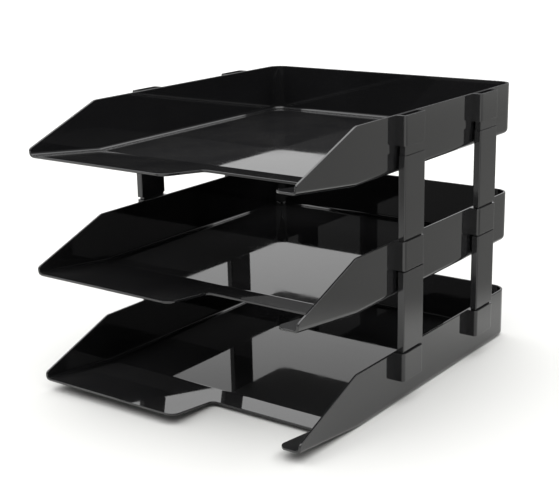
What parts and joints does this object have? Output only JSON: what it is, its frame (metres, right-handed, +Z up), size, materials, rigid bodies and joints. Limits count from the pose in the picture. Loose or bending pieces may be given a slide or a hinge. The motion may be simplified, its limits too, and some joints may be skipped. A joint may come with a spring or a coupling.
{
  "type": "letter tray",
  "caption": "Stack of shallow open-fronted paper trays, each with a front ramp, an offset finger notch and side sockets, held apart by plug-in riser posts.",
  "frame": {"origin": "on the table, at the middle of the footprint", "axes": "+Z up, -Y towards the open front, +X to the right seen from the front"},
  "size_m": [0.2718, 0.33, 0.2303],
  "materials": {
    "tray_plastic": "black moulded polystyrene, glossy",
    "riser_plastic": "black moulded polystyrene, glossy"
  },
  "bodies": {
    "bottom_tray": {"bottom_tray": "tray_plastic"},
    "lower_risers": {"lower_riser_front_left": "riser_plastic", "lower_riser_front_right": "riser_plastic", "lower_riser_rear_left": "riser_plastic", "lower_riser_rear_right": "riser_plastic"},
    "middle_tray": {"middle_tray": "tray_plastic"},
    "upper_risers": {"upper_riser_front_left": "riser_plastic", "upper_riser_front_right": "riser_plastic", "upper_riser_rear_left": "riser_plastic", "upper_riser_rear_right": "riser_plastic"},
    "top_tray": {"top_tray": "tray_plastic"}
  },
  "joints": [
    {"name": "lower_risers_lift", "type": "slide", "parent": "bottom_tray", "child": "lower_risers", "axis": [0, 0, 1], "range_m": [0, 0.03]},
    {"name": "middle_tray_lift", "type": "slide", "parent": "lower_risers", "child": "middle_tray", "axis": [0, 0, 1], "range_m": [0, 0.04]},
    {"name": "upper_risers_lift", "type": "slide", "parent": "middle_tray", "child": "upper_risers", "axis": [0, 0, 1], "range_m": [0, 0.03]},
    {"name": "top_tray_lift", "type": "slide", "parent": "upper_risers", "child": "top_tray", "axis": [0, 0, 1], "range_m": [0, 0.04]}
  ]
}
